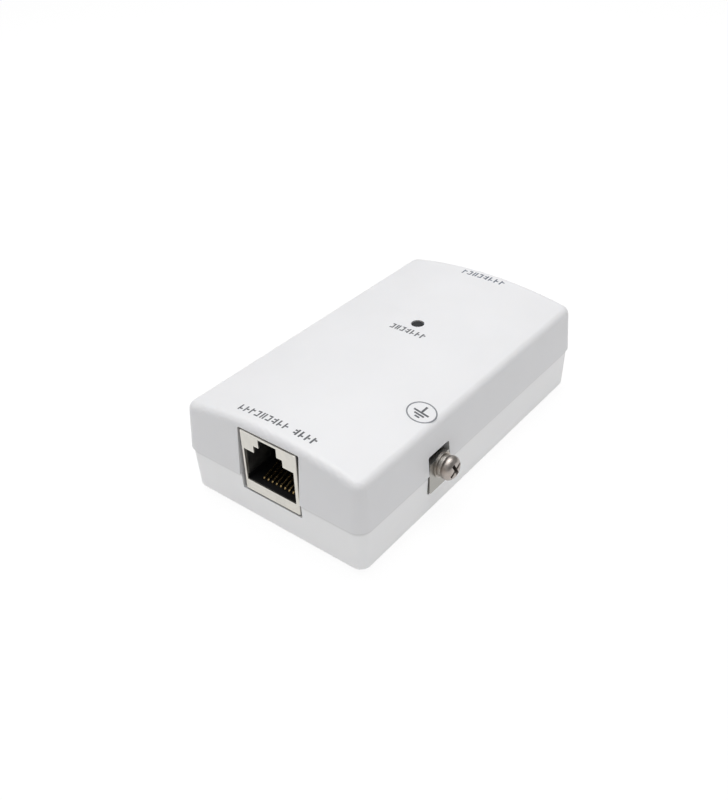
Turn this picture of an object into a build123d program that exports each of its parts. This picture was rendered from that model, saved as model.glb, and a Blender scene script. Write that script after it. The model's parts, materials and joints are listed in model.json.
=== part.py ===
from build123d import *
import math
import os

os.makedirs("parts", exist_ok=True)

# A small two-shell network power injector: one shielded jack at each end, a
# round power inlet on the left flank, an earth screw on the right flank and
# one status light in the roof.
# Frame: +X right, -Y towards the powered output jack, +Z up.
# Origin: centre of the bottom cover's underside.  All sizes in millimetres.

# ---------------------------------------------------------------------------
# Shared dimensions
# ---------------------------------------------------------------------------
# case
CASE_W = 43.0            # width at the parting line
CASE_L = 75.0            # length at the parting line
CASE_H = 21.8            # height at the middle of the crowned roof
SEAM_Z = 9.7             # height of the parting line
ROOF_SAG = 2.5           # drop of the roof from its middle to its long edges
WALL = 1.8
ROOF_T = 1.6
FLOOR_T = 1.8
CORNER_R = 2.9
TOP_EDGE_R = 1.8
BOTTOM_EDGE_R = 0.9
DRAFT_TOP = 4.6          # degrees
DRAFT_BOTTOM = 2.1       # degrees
SEAM_STEP = 0.35         # lower shell sits this far inside the upper one
TONGUE_H = 1.4
TONGUE_INSET = 1.3       # tongue's outer face inside the case outline
TONGUE_T = 0.8
SCREW_XY = [(15.6, 31.4), (-15.6, 31.4), (15.6, -31.4), (-15.6, -31.4)]
CROWN_R = ((CASE_W / 2) ** 2 + ROOF_SAG**2) / (2 * ROOF_SAG)

# circuit board
PCB_W = 37.8
PCB_L = 69.6
PCB_Z = 5.0
PCB_T = 1.6
SEAT = PCB_Z + PCB_T + 0.05   # parts stand this high, on their solder
PIN_END = 3.7                 # soldered pins end this high, under the board

# network jacks; the input jack is the output jack turned half a turn about Z
JACK_X = 0.25            # output jack's centre across the case
JACK_W = 13.3
JACK_FACE = -36.9        # y of the output jack's front
JACK_BACK = -21.0
JACK_TOP = 20.0
JACK_LEN = JACK_BACK - JACK_FACE
JACK_MID_Y = (JACK_FACE + JACK_BACK) / 2
SHEET = 0.3
MOUTH_W = 11.9
MOUTH_Z0 = 8.9
MOUTH_Z1 = 16.1
STEP_W = 6.9
STEP_Z = 17.65
LATCH_W = 4.3
LATCH_Z = 19.55
PITCH = 1.02
CONTACT_X = [JACK_X + (i - 3.5) * PITCH for i in range(8)]
TAIL_Y = [-23.2 if i % 2 == 0 else -25.7 for i in range(8)]
TAIL_XY = list(zip(CONTACT_X, TAIL_Y))
PEG_R = 1.55
PEG_XY = [(JACK_X - 4.55, -28.6), (JACK_X + 4.55, -28.6)]
LEG_OFFSET = JACK_W / 2 - SHEET / 2
LEG_XY = [(JACK_X - LEG_OFFSET, -30.6), (JACK_X + LEG_OFFSET, -30.6)]

# power inlet, left flank
DC_Y = 13.0
DC_Z = SEAT + 6.5
DC_H = 11.0
DC_FACE = -20.9          # x of the body's outer face
DC_BACK = -6.9           # x of its inner end
PIN_BLADE_X = -6.7       # solder blade of the centre pin
SLEEVE_BLADE_X = -9.4    # solder blade of the sleeve contact
BLADE_T = 0.3
BLADE_W = 2.4
STAPLE_XY = [(-13.0, DC_Y - 4.2), (-13.0, DC_Y + 4.2)]

# earth terminal, right flank
EARTH_Y = -14.0          # screw axis
EARTH_Z = 10.2
PLATE_Y = -14.4          # centre of the window and of the plate in it
BRACKET_LEG_XY = [(14.2, PLATE_Y - 2.0), (14.2, PLATE_Y + 2.0)]

# light pipe over the status light
LED_XY = (0.0, 8.6)
PIPE_R = 1.8
PIPE_TIP_R = 1.28
PIPE_SHOULDER_Z = 20.15
PIPE_GAP = 0.1           # clearance around the pipe

# leads of the parts on the board
LED_PIN_XY = [(LED_XY[0] - 1.27, LED_XY[1]), (LED_XY[0] + 1.27, LED_XY[1])]
CAP_XY = (-13.0, -12.0)
CAP_PIN_XY = [(CAP_XY[0], CAP_XY[1] - 1.75), (CAP_XY[0], CAP_XY[1] + 1.75)]
DISC_XY = (13.4, -24.4)
DISC_PIN_XY = [(DISC_XY[0] - 3.0, DISC_XY[1]), (DISC_XY[0] + 3.0, DISC_XY[1])]
CHOKE_XY = (-12.4, -1.6)
CHOKE_PIN_RADIUS = 5.1   # distance of the pins from the choke's centre
CHOKE_PIN_XY = [
    (
        CHOKE_XY[0] + CHOKE_PIN_RADIUS * math.cos(math.radians(angle)),
        CHOKE_XY[1] + CHOKE_PIN_RADIUS * math.sin(math.radians(angle)),
    )
    for angle in (50, -50, 130, -130)
]


# ---------------------------------------------------------------------------
# Helpers
# ---------------------------------------------------------------------------
def save(builder, name):
    """Label a finished piece and write its STEP file."""
    builder.part.label = name
    export_step(builder.part, f"parts/{name}.step")


def level(z):
    """The horizontal plane at height z."""
    return Plane.XY.offset(z)


def half_turn(points):
    """The same points turned 180 degrees about the Z axis."""
    return [(-x, -y) for x, y in points]


def rods(plane, centres, radius, length, hole_r=0, mode=Mode.ADD):
    """Extrude circles or rings from a plane and combine them with the current part."""
    with BuildPart() as extrusion:
        with BuildSketch(plane):
            with Locations(*centres):
                Circle(radius)
                if hole_r:
                    Circle(hole_r, mode=Mode.SUBTRACT)
        extrude(amount=length)
    add(extrusion.part, mode=mode)


def bars(plane, centres, width, height, length, corner=0, mode=Mode.ADD):
    """Extrude rectangles from a plane and combine them with the current part."""
    with BuildPart() as extrusion:
        with BuildSketch(plane):
            with Locations(*centres):
                if corner:
                    RectangleRounded(width, height, corner)
                else:
                    Rectangle(width, height)
        extrude(amount=length)
    add(extrusion.part, mode=mode)


def chip(centre, size_x, size_y, z0, z1, edge=0.2):
    """A moulded component body with chamfered upper edges."""
    with BuildPart() as body:
        bars(level(z0), [centre], size_x, size_y, z1 - z0)
        chamfer(body.faces().sort_by(Axis.Z)[-1].edges(), edge)
    return body.part


def gull_leads(centre, half_body, half_span, offsets, width, exit_z):
    """Gull-wing leads at y offsets on both X flanks of a chip, just clear of its body."""
    thickness = 0.16
    with BuildPart() as leads:
        for offset in offsets:
            for side in (-1, 1):
                root = centre[0] + side * (half_body + 0.01)
                knee = centre[0] + side * (half_body + 0.01 + (half_span - half_body) * 0.42)
                toe = centre[0] + side * half_span
                knee_inner = knee - side * thickness
                with BuildSketch(Plane.XZ.offset(-(centre[1] + offset))):
                    with BuildLine():
                        Polyline(
                            (root, exit_z),
                            (knee, exit_z),
                            (knee, SEAT + thickness),
                            (toe, SEAT + thickness),
                            (toe, SEAT),
                            (knee_inner, SEAT),
                            (knee_inner, exit_z - thickness),
                            (root, exit_z - thickness),
                            close=True,
                        )
                    make_face()
                extrude(amount=width / 2, both=True)
    return leads.part


def cross_recess(reach, width, depth):
    """A cross-shaped screwdriver recess, narrowing downwards from the XY plane."""
    with BuildPart() as recess:
        with BuildSketch(Plane.XY):
            Rectangle(2 * reach, width)
            Rectangle(width, 2 * reach)
        with BuildSketch(level(-depth)):
            Rectangle(reach, width * 0.55)
            Rectangle(width * 0.55, reach)
        loft()
    return recess.part


def pan_screw(head_r, head_h, shank_r, length, pitch, recess_reach):
    """A pan-head screw along Z: the head above z = 0, the grooved shank below."""
    rim = (head_r, head_h * 0.22)
    shoulder = (head_r * 0.88, head_h * 0.78)
    crown = (head_r * 0.60, head_h)
    root_r = shank_r - 0.24 * pitch
    thread_z = -0.7
    tip_chamfer = 0.35
    shank = [(0, 0.2), (shank_r, 0.2), (shank_r, thread_z)]
    z = thread_z
    for _ in range(int((length - 1.2) / pitch)):
        shank += [
            (root_r, z - 0.30 * pitch),
            (root_r, z - 0.45 * pitch),
            (shank_r, z - 0.75 * pitch),
            (shank_r, z - pitch),
        ]
        z -= pitch
    shank += [(shank_r, -length + tip_chamfer), (shank_r - tip_chamfer, -length)]
    shank += [(0, -length), (0, 0.2)]

    with BuildPart() as screw:
        with BuildSketch(Plane.XZ):
            with BuildLine():
                Polyline((0, 0), (head_r * 0.93, 0), rim)
                ThreePointArc(rim, shoulder, crown)
                Polyline(crown, (0, head_h), (0, 0))
            make_face()
        revolve(axis=Axis.Z)
        with BuildSketch(Plane.XZ):
            with BuildLine():
                Polyline(*shank)
            make_face()
        revolve(axis=Axis.Z)
        recess = cross_recess(recess_reach, width=recess_reach * 0.42, depth=head_h * 0.62)
        add(recess.moved(Location((0, 0, head_h + 0.001))), mode=Mode.SUBTRACT)
    return screw.part


def crowned_block(width, length, corner, z0, top, crown_r):
    """A drafted block with rounded corners under a roof crowned across its width."""
    reach = width / 2 + 3
    edge_z = top - (crown_r - math.sqrt(crown_r**2 - reach**2))
    left, right = (-reach, edge_z), (reach, edge_z)
    with BuildPart() as block:
        with BuildSketch(level(z0)):
            RectangleRounded(width, length, corner)
        extrude(amount=top - z0 + 1.0, taper=DRAFT_TOP)
        with BuildSketch(Plane.XZ):
            with BuildLine():
                ThreePointArc(left, (0, top), right)
                Polyline(right, (reach, z0 - 1), (-reach, z0 - 1), left)
            make_face()
        extrude(amount=length / 2 + 3, both=True, mode=Mode.INTERSECT)
    return block.part


# ---------------------------------------------------------------------------
# Wall openings, shared by both covers
# ---------------------------------------------------------------------------
# planes 1 mm outside each wall, facing outwards
FRONT = Plane.XZ.offset(CASE_L / 2 + 1)
REAR = Plane(origin=(0, CASE_L / 2 + 1, 0), x_dir=(-1, 0, 0), z_dir=(0, 1, 0))
RIGHT = Plane.YZ.offset(CASE_W / 2 + 1)
LEFT = Plane(origin=(-CASE_W / 2 - 1, 0, 0), x_dir=(0, -1, 0), z_dir=(-1, 0, 0))

OPENING_DEPTH = 5.0
JACK_OPENING_W = 14.5
JACK_OPENING_Z0 = 6.3
JACK_OPENING_Z1 = 20.2
JACK_OPENING_H = JACK_OPENING_Z1 - JACK_OPENING_Z0
JACK_OPENING_CENTRE = (JACK_X, (JACK_OPENING_Z0 + JACK_OPENING_Z1) / 2)
# plane, centre on the plane, width, height, corner radius
OPENINGS = [
    (FRONT, JACK_OPENING_CENTRE, JACK_OPENING_W, JACK_OPENING_H, 0.35),
    (REAR, JACK_OPENING_CENTRE, JACK_OPENING_W, JACK_OPENING_H, 0.35),
    (RIGHT, (PLATE_Y, 9.35), 6.6, 8.9, 0.5),
    (LEFT, (-DC_Y, SEAT + 5.6), 9.6, 11.6, 0.4),
]


def cut_openings():
    """Cut all four wall openings from the current part."""
    for plane, centre, width, height, corner in OPENINGS:
        bars(plane, [centre], width, height, -OPENING_DEPTH, corner, mode=Mode.SUBTRACT)


# ---------------------------------------------------------------------------
# Top cover: crowned roof, drafted walls, screw bosses, light pipe guide
# ---------------------------------------------------------------------------
REBATE_INSET = TONGUE_INSET - 0.1
BOSS_R = 3.0
BOSS_TOP = 19.2
BOSS_HOLE_R = 1.3
BOSS_HOLE_DEPTH = 8.4
RIB_XY = [(x, math.copysign(34.9, y)) for x, y in SCREW_XY]
RIB_Z = 12.0
RIB_H = 7.0
GUIDE_R = 3.0
GUIDE_Z = 14.0
GUIDE_H = 6.6
GUIDE_BORE_Z = GUIDE_Z - 0.1
GUIDE_BORE_TOP = PIPE_SHOULDER_Z + PIPE_GAP
JACK_POCKET_XY = [(JACK_X, -28.0), (-JACK_X, 28.0)]
JACK_POCKET_TOP = 20.25

with BuildPart() as top_cover:
    add(crowned_block(CASE_W, CASE_L, CORNER_R, SEAM_Z, CASE_H, CROWN_R))
    fillet(top_cover.faces().sort_by(Axis.Z)[-1].edges(), TOP_EDGE_R)
    cavity = crowned_block(
        width=CASE_W - 2 * WALL,
        length=CASE_L - 2 * WALL,
        corner=CORNER_R - WALL + 0.2,
        z0=SEAM_Z,
        top=CASE_H - ROOF_T,
        crown_r=CROWN_R - ROOF_T,
    )
    add(cavity, mode=Mode.SUBTRACT)
    # rebate for the lower shell's tongue
    with BuildSketch(level(SEAM_Z)):
        RectangleRounded(
            CASE_W - 2 * REBATE_INSET, CASE_L - 2 * REBATE_INSET, CORNER_R - REBATE_INSET
        )
    extrude(amount=TONGUE_H + 0.2, mode=Mode.SUBTRACT)
    # screw bosses
    rods(level(SEAT), SCREW_XY, BOSS_R, BOSS_TOP - SEAT)
    rods(level(SEAT), SCREW_XY, BOSS_HOLE_R, BOSS_HOLE_DEPTH, mode=Mode.SUBTRACT)
    # stiffening ribs from the bosses to the end walls
    bars(level(RIB_Z), RIB_XY, 1.0, 2.4, RIB_H)
    # guide for the light pipe, and the narrower hole for its tip
    rods(level(GUIDE_Z), [LED_XY], GUIDE_R, GUIDE_H)
    rods(
        level(GUIDE_BORE_Z), [LED_XY], PIPE_R + PIPE_GAP, GUIDE_BORE_TOP - GUIDE_BORE_Z,
        mode=Mode.SUBTRACT,
    )
    rods(level(20.0), [LED_XY], PIPE_TIP_R + PIPE_GAP, 3.0, mode=Mode.SUBTRACT)
    # pockets that let the jacks stand close under the roof
    bars(
        level(SEAM_Z), JACK_POCKET_XY, JACK_W + 0.7, 15.0, JACK_POCKET_TOP - SEAM_Z,
        mode=Mode.SUBTRACT,
    )
    cut_openings()
save(top_cover, "top_cover")

# ---------------------------------------------------------------------------
# Bottom cover: floor, drafted walls, tongue, board posts, foot and label recesses
# ---------------------------------------------------------------------------
TAN_BOTTOM = math.tan(math.radians(DRAFT_BOTTOM))
BASE_INSET = SEAM_STEP + SEAM_Z * TAN_BOTTOM
BASE_W = CASE_W - 2 * BASE_INSET
BASE_L = CASE_L - 2 * BASE_INSET
FLOOR_INSET = WALL - FLOOR_T * TAN_BOTTOM     # cavity inside the base outline
TONGUE_INNER = TONGUE_INSET + TONGUE_T
POST_Z = FLOOR_T - 0.2                        # posts start inside the floor
POST_H = PCB_Z - 0.02 - POST_Z
POST_R = 3.9
REST_XY = [(17.4, 4.0), (-17.4, -8.0)]
REST_R = 1.4
SCREW_HOLE_R = 1.45
SCREW_SINK_R = 2.8
SCREW_SINK_DEPTH = 2.4
FOOT_XY = [(14.6, 23.6), (-14.6, 23.6), (14.6, -23.6), (-14.6, -23.6)]
FOOT_R = 4.0
FOOT_RECESS = 0.5
LABEL_XY = (0, 18.0)
LABEL_W = 20.0
LABEL_L = 26.0
LABEL_RECESS = 0.16

with BuildPart() as bottom_cover:
    with BuildSketch(Plane.XY):
        RectangleRounded(BASE_W, BASE_L, CORNER_R - BASE_INSET)
    extrude(amount=SEAM_Z, taper=-DRAFT_BOTTOM)
    fillet(bottom_cover.faces().sort_by(Axis.Z)[0].edges(), BOTTOM_EDGE_R)
    with BuildSketch(level(FLOOR_T)):
        RectangleRounded(BASE_W - 2 * FLOOR_INSET, BASE_L - 2 * FLOOR_INSET, 1.0)
    extrude(amount=SEAM_Z - FLOOR_T, taper=-DRAFT_BOTTOM, mode=Mode.SUBTRACT)
    # tongue that enters the upper shell
    with BuildSketch(level(SEAM_Z)):
        RectangleRounded(
            CASE_W - 2 * TONGUE_INSET, CASE_L - 2 * TONGUE_INSET, CORNER_R - TONGUE_INSET
        )
        RectangleRounded(
            CASE_W - 2 * TONGUE_INNER, CASE_L - 2 * TONGUE_INNER, CORNER_R - TONGUE_INNER,
            mode=Mode.SUBTRACT,
        )
    extrude(amount=TONGUE_H)
    # posts under the board, open for the case screws
    rods(level(POST_Z), SCREW_XY, POST_R, POST_H)
    rods(Plane.XY, SCREW_XY, SCREW_HOLE_R, PCB_Z + 1, mode=Mode.SUBTRACT)
    rods(Plane.XY, SCREW_XY, SCREW_SINK_R, SCREW_SINK_DEPTH, mode=Mode.SUBTRACT)
    # two plain board rests along the flanks
    rods(level(POST_Z), REST_XY, REST_R, POST_H)
    # shallow recesses for the feet and the label
    rods(Plane.XY, FOOT_XY, FOOT_R + 0.1, FOOT_RECESS, mode=Mode.SUBTRACT)
    bars(
        Plane.XY, [LABEL_XY], LABEL_W + 0.4, LABEL_L + 0.4, LABEL_RECESS,
        corner=1.2, mode=Mode.SUBTRACT,
    )
    cut_openings()
save(bottom_cover, "bottom_cover")

# case screws, driven up from below through the posts and the board
case_screw = pan_screw(
    head_r=2.4, head_h=1.7, shank_r=1.25, length=9.4, pitch=0.9, recess_reach=1.35
)
with BuildPart() as case_screws:
    for x, y in SCREW_XY:
        add(case_screw.moved(Location((x, y, SCREW_SINK_DEPTH), (180, 0, 0))))
save(case_screws, "case_screws")

# feet and the blank rating label
FOOT_PROUD = 0.6
with BuildPart() as rubber_feet:
    rods(level(-FOOT_PROUD), FOOT_XY, FOOT_R, FOOT_PROUD + FOOT_RECESS)
    fillet(rubber_feet.faces().group_by(Axis.Z)[0].edges(), 0.35)
save(rubber_feet, "rubber_feet")

LABEL_Z = 0.05
with BuildPart() as rating_label:
    bars(level(LABEL_Z), [LABEL_XY], LABEL_W, LABEL_L, LABEL_RECESS - LABEL_Z, corner=1.0)
save(rating_label, "rating_label")

# ---------------------------------------------------------------------------
# Circuit board, with every hole that a lead, peg or screw passes through
# ---------------------------------------------------------------------------
BLADE_XY = [(PIN_BLADE_X, DC_Y), (SLEEVE_BLADE_X, DC_Y)]
# centres, radius
ROUND_HOLES = [
    (SCREW_XY, 1.6),
    (TAIL_XY + half_turn(TAIL_XY), 0.36),
    (LED_PIN_XY + CAP_PIN_XY + DISC_PIN_XY + CHOKE_PIN_XY, 0.45),
    (PEG_XY + half_turn(PEG_XY), PEG_R + 0.1),
]
# centres, size along x, size along y
SLOTS = [
    (LEG_XY + half_turn(LEG_XY), 0.6, 1.5),
    (BLADE_XY, 0.8, 2.9),
    (STAPLE_XY, 2.4, 0.8),
    (BRACKET_LEG_XY, 1.5, 1.5),
]
with BuildPart() as circuit_board:
    with BuildSketch(level(PCB_Z)):
        RectangleRounded(PCB_W, PCB_L, 1.2)
        for centres, radius in ROUND_HOLES:
            with Locations(*centres):
                Circle(radius, mode=Mode.SUBTRACT)
        for centres, size_x, size_y in SLOTS:
            with Locations(*centres):
                Rectangle(size_x, size_y, mode=Mode.SUBTRACT)
    extrude(amount=PCB_T)
save(circuit_board, "circuit_board")

# ---------------------------------------------------------------------------
# Output jack: folded shield, moulded housing, fixed terminals, spring wires
# ---------------------------------------------------------------------------
JACK_FRONT = Plane.XZ.offset(-JACK_FACE)   # extrusions into the jack are negative
TONGUE_Z = 13.0                            # middle of the earthing tongues
EARTH_TONGUE_T = 0.15

with BuildPart() as out_jack_shield:
    bars(JACK_FRONT, [(JACK_X, (SEAT + JACK_TOP) / 2)], JACK_W, JACK_TOP - SEAT, -JACK_LEN)
    fillet(
        out_jack_shield.edges().filter_by(Axis.Y).group_by(Axis.Z)[-1]
        + out_jack_shield.edges().filter_by(Axis.Z).group_by(Axis.Y)[0],
        0.35,
    )
    bars(
        level(SEAT - 1), [(JACK_X, JACK_MID_Y)], JACK_W - 2 * SHEET, JACK_LEN - 2 * SHEET,
        JACK_TOP - SEAT + 1 - SHEET, mode=Mode.SUBTRACT,
    )
    # stepped mouth, with the latch notch at the top
    with BuildSketch(Plane.XZ.offset(-JACK_FACE + 1)):
        for width, top in ((MOUTH_W, MOUTH_Z1), (STEP_W, STEP_Z), (LATCH_W, LATCH_Z)):
            with Locations((JACK_X, (MOUTH_Z0 + top) / 2)):
                Rectangle(width, top - MOUTH_Z0)
    extrude(amount=-2.0, mode=Mode.SUBTRACT)
    # earthing tongues folded back along the mouth's sides
    tongue_offset = MOUTH_W / 2 + EARTH_TONGUE_T / 2
    tongues = [(JACK_X - tongue_offset, TONGUE_Z), (JACK_X + tongue_offset, TONGUE_Z)]
    bars(JACK_FRONT, tongues, EARTH_TONGUE_T, 6.2, -6.4)
    # legs soldered into the board
    bars(level(PIN_END), LEG_XY, SHEET, 1.2, SEAT - PIN_END + 0.2)
save(out_jack_shield, "out_jack_shield")

CHANNEL_W = 0.6
CHANNEL_Z = 7.6
PEG_END = 4.0
# width, top, depth of the mouth's three tiers
HOUSING_TIERS = [
    (MOUTH_W, MOUTH_Z1, -25.6 - JACK_FACE),
    (STEP_W, STEP_Z, 8.6),
    (LATCH_W, JACK_TOP + 0.4, 6.6),
]
with BuildPart() as out_jack_housing:
    bars(
        level(SEAT), [(JACK_X, JACK_MID_Y)],
        JACK_W - 2 * SHEET - 0.1, JACK_LEN - 2 * SHEET - 0.06, JACK_TOP - SEAT - SHEET - 0.05,
    )
    for width, top, depth in HOUSING_TIERS:
        bars(
            JACK_FRONT, [(JACK_X, (MOUTH_Z0 + top) / 2)], width, top - MOUTH_Z0, -depth,
            mode=Mode.SUBTRACT,
        )
    # slots for the shield's earthing tongues
    slot_offset = MOUTH_W / 2 + 0.2
    slots = [(JACK_X - slot_offset, TONGUE_Z), (JACK_X + slot_offset, TONGUE_Z)]
    bars(JACK_FRONT, slots, 0.5, 6.4, -6.6, mode=Mode.SUBTRACT)
    # one channel per contact: floor slot, comb slot at the back, tail hole
    bars(
        level(CHANNEL_Z), [(x, -28.95) for x in CONTACT_X],
        CHANNEL_W, 12.7, MOUTH_Z0 + 0.2 - CHANNEL_Z, mode=Mode.SUBTRACT,
    )
    bars(level(9.0), [(x, -25.1) for x in CONTACT_X], CHANNEL_W, 1.4, 4.4, mode=Mode.SUBTRACT)
    bars(level(6.0), TAIL_XY, CHANNEL_W, 0.7, 2.0, mode=Mode.SUBTRACT)
    # pegs that locate the housing in the board
    rods(level(PEG_END), PEG_XY, PEG_R, SEAT - PEG_END + 0.3)
save(out_jack_housing, "out_jack_housing")

WIRE = 0.3               # side of the square contact wire
BEND_Y = -34.6           # centre of the bend the spring wires turn on
BEND_Z = 8.55
BEND_R = 0.5
SPRING_RISE = 18.0       # degrees
SPRING_LEN = 10.0
HALF_WIRE = WIRE / 2
BEND_OUTER = BEND_R + HALF_WIRE
BEND_INNER = BEND_R - HALF_WIRE
RUN_Z = BEND_Z - BEND_R  # middle of the flat run


def on_bend(radius, degrees):
    """A (y, z) point at an angle around the bend's centre."""
    angle = math.radians(degrees)
    return (BEND_Y + radius * math.cos(angle), BEND_Z + radius * math.sin(angle))


with BuildPart() as out_jack_terminals:
    for x, tail in TAIL_XY:
        # the flat run, the tail and the open bend are drawn as three overlapping faces
        with BuildSketch(Plane.YZ.offset(x)):
            with Locations(((BEND_Y + tail + HALF_WIRE) / 2, RUN_Z)):
                Rectangle(tail + HALF_WIRE - BEND_Y, WIRE)
            with Locations((tail, (PIN_END + RUN_Z) / 2)):
                Rectangle(WIRE, RUN_Z - PIN_END + HALF_WIRE)
            with BuildLine():
                Line(on_bend(BEND_INNER, 270), on_bend(BEND_OUTER, 270))
                ThreePointArc(*[on_bend(BEND_OUTER, angle) for angle in (270, 193, 116)])
                Line(on_bend(BEND_OUTER, 116), on_bend(BEND_INNER, 116))
                ThreePointArc(*[on_bend(BEND_INNER, angle) for angle in (116, 193, 270)])
            make_face()
        extrude(amount=HALF_WIRE, both=True)
save(out_jack_terminals, "out_jack_terminals")

rise = math.radians(SPRING_RISE)
root_y, root_z = on_bend(BEND_R, 90 + SPRING_RISE)
tip_y = root_y + SPRING_LEN * math.cos(rise)
tip_z = root_z + SPRING_LEN * math.sin(rise)
# half the wire's thickness, square to the spring
normal_y, normal_z = -math.sin(rise) * HALF_WIRE, math.cos(rise) * HALF_WIRE
with BuildPart() as out_jack_springs:
    for x in CONTACT_X:
        with BuildSketch(Plane.YZ.offset(x)):
            with BuildLine():
                Polyline(
                    (root_y - normal_y, root_z - normal_z),
                    (tip_y - normal_y, tip_z - normal_z),
                    (tip_y + normal_y, tip_z + normal_z),
                    (root_y + normal_y, root_z + normal_z),
                    close=True,
                )
            make_face()
        extrude(amount=HALF_WIRE, both=True)
save(out_jack_springs, "out_jack_springs")

# ---------------------------------------------------------------------------
# Input jack: the same four pieces, turned half a turn
# ---------------------------------------------------------------------------
for piece, original in (
    ("shield", out_jack_shield),
    ("housing", out_jack_housing),
    ("terminals", out_jack_terminals),
    ("springs", out_jack_springs),
):
    with BuildPart() as turned_piece:
        add(original.part.rotate(Axis.Z, 180))
    save(turned_piece, f"in_jack_{piece}")

# ---------------------------------------------------------------------------
# Power inlet on the left flank
# ---------------------------------------------------------------------------
DC_W = 9.0
DC_BORE_R = 3.2
DC_PIN_R = 1.0
DC_TAIL_R = 0.8
DC_FRONT = Plane.YZ.offset(DC_FACE)        # extrusions into the case are positive
DC_AXIS = (DC_Y, DC_Z)
TAIL_START = DC_FACE + 9.0

with BuildPart() as dc_jack_body:
    bars(level(SEAT), [((DC_FACE + DC_BACK) / 2, DC_Y)], DC_BACK - DC_FACE, DC_W, DC_H)
    fillet(dc_jack_body.edges().filter_by(Axis.X).group_by(Axis.Z)[-1], 0.4)
    # relieved flanks behind the mouth's flange
    flanks = [(-12.5, DC_Y - DC_W / 2), (-12.5, DC_Y + DC_W / 2)]
    bars(level(SEAT), flanks, 11.4, 1.2, DC_H, mode=Mode.SUBTRACT)
    # bore, with a chamfered mouth
    rods(DC_FRONT, [DC_AXIS], DC_BORE_R, 9.5, mode=Mode.SUBTRACT)
    bore_edges = [
        edge
        for edge in dc_jack_body.edges().filter_by(GeomType.CIRCLE)
        if abs(edge.radius - DC_BORE_R) < 0.01
    ]
    chamfer(ShapeList(bore_edges).sort_by(Axis.X)[0], 0.35)
    # hole for the pin's tail
    rods(DC_FRONT, [DC_AXIS], DC_TAIL_R + 0.05, 20, mode=Mode.SUBTRACT)
    # slot for the leaf spring under the bore, and one for its terminal
    bars(level(8.9), [(-14.3, DC_Y)], 9.3, 3.0, 2.0, mode=Mode.SUBTRACT)
    bars(level(6.0), [(SLEEVE_BLADE_X, DC_Y)], 0.6, 3.0, 4.0, mode=Mode.SUBTRACT)
save(dc_jack_body, "dc_jack_body")

with BuildPart() as dc_jack_pin:
    rods(Plane.YZ.offset(DC_FACE + 0.7), [DC_AXIS], DC_PIN_R, 8.5)
    fillet(dc_jack_pin.edges().filter_by(GeomType.CIRCLE).sort_by(Axis.X)[0], 0.4)
    # a thinner tail runs back through the body to the solder blade
    rods(Plane.YZ.offset(TAIL_START), [DC_AXIS], DC_TAIL_R, PIN_BLADE_X + 0.05 - TAIL_START)
    bars(level(PIN_END), [(PIN_BLADE_X, DC_Y)], BLADE_T, BLADE_W, DC_Z + 1.4 - PIN_END)
save(dc_jack_pin, "dc_jack_pin")

SLEEVE_BLADE_TOP = 9.75
with BuildPart() as dc_jack_sleeve_terminal:
    bars(
        level(PIN_END), [(SLEEVE_BLADE_X, DC_Y)], BLADE_T, BLADE_W, SLEEVE_BLADE_TOP - PIN_END
    )
save(dc_jack_sleeve_terminal, "dc_jack_sleeve_terminal")

# two steel hold-down staples, one each side of the inlet, soldered into the board
STAPLE_TOP = 9.2
with BuildPart() as dc_jack_staples:
    bars(level(PIN_END), STAPLE_XY, 2.0, 0.4, STAPLE_TOP - PIN_END)
save(dc_jack_staples, "dc_jack_staples")

# upper side of the leaf spring, as (x, z)
LEAF_UPPER = [
    (-9.75, 9.72), (-12.4, 9.85), (-15.0, 10.50),
    (-16.0, 10.58), (-17.0, 10.45), (-18.4, 9.75),
]
LEAF_T = 0.25
leaf_lower = [(x, z - LEAF_T) for x, z in reversed(LEAF_UPPER)]
with BuildPart() as dc_jack_leaf:
    with BuildSketch(Plane.XZ.offset(-DC_Y)):
        with BuildLine():
            Polyline(*(LEAF_UPPER + leaf_lower), close=True)
        make_face()
    extrude(amount=1.2, both=True)
save(dc_jack_leaf, "dc_jack_leaf")

# ---------------------------------------------------------------------------
# Earth terminal on the right flank
# ---------------------------------------------------------------------------
EARTH_FACE = 21.4        # x of the bracket's outer face
EARTH_PLATE = 1.2
EARTH_TOP = 12.0         # z of the bracket's upper edge
EARTH_LOW = 5.15         # z of its lower edge
FOOT_X0 = 13.4           # the bracket's foot on the board runs between these
FOOT_X1 = EARTH_FACE - 0.3
SHANK_R = 1.25
WASHER_HOLE_R = SHANK_R + 0.1
WASHER_T = 0.5
LOCK_T = 0.8
EARTH_AXIS = (EARTH_Y, EARTH_Z)
EARTH_PLANE = Plane.YZ.offset(EARTH_FACE)

with BuildPart() as ground_bracket:
    bars(
        EARTH_PLANE, [(PLATE_Y, (EARTH_LOW + EARTH_TOP) / 2)],
        6.2, EARTH_TOP - EARTH_LOW, -EARTH_PLATE, corner=0.5,
    )
    bars(level(SEAT), [((FOOT_X0 + FOOT_X1) / 2, PLATE_Y)], FOOT_X1 - FOOT_X0, 5.6, 1.2)
    # collar on the plate's inner face, then the screw hole
    rods(Plane.YZ.offset(EARTH_FACE - EARTH_PLATE), [EARTH_AXIS], 1.75, -1.4)
    rods(EARTH_PLANE, [EARTH_AXIS], SHANK_R + 0.06, -4.0, mode=Mode.SUBTRACT)
    bars(level(PIN_END), BRACKET_LEG_XY, 1.2, 1.2, SEAT - PIN_END + 0.3)
save(ground_bracket, "ground_bracket")

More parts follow.
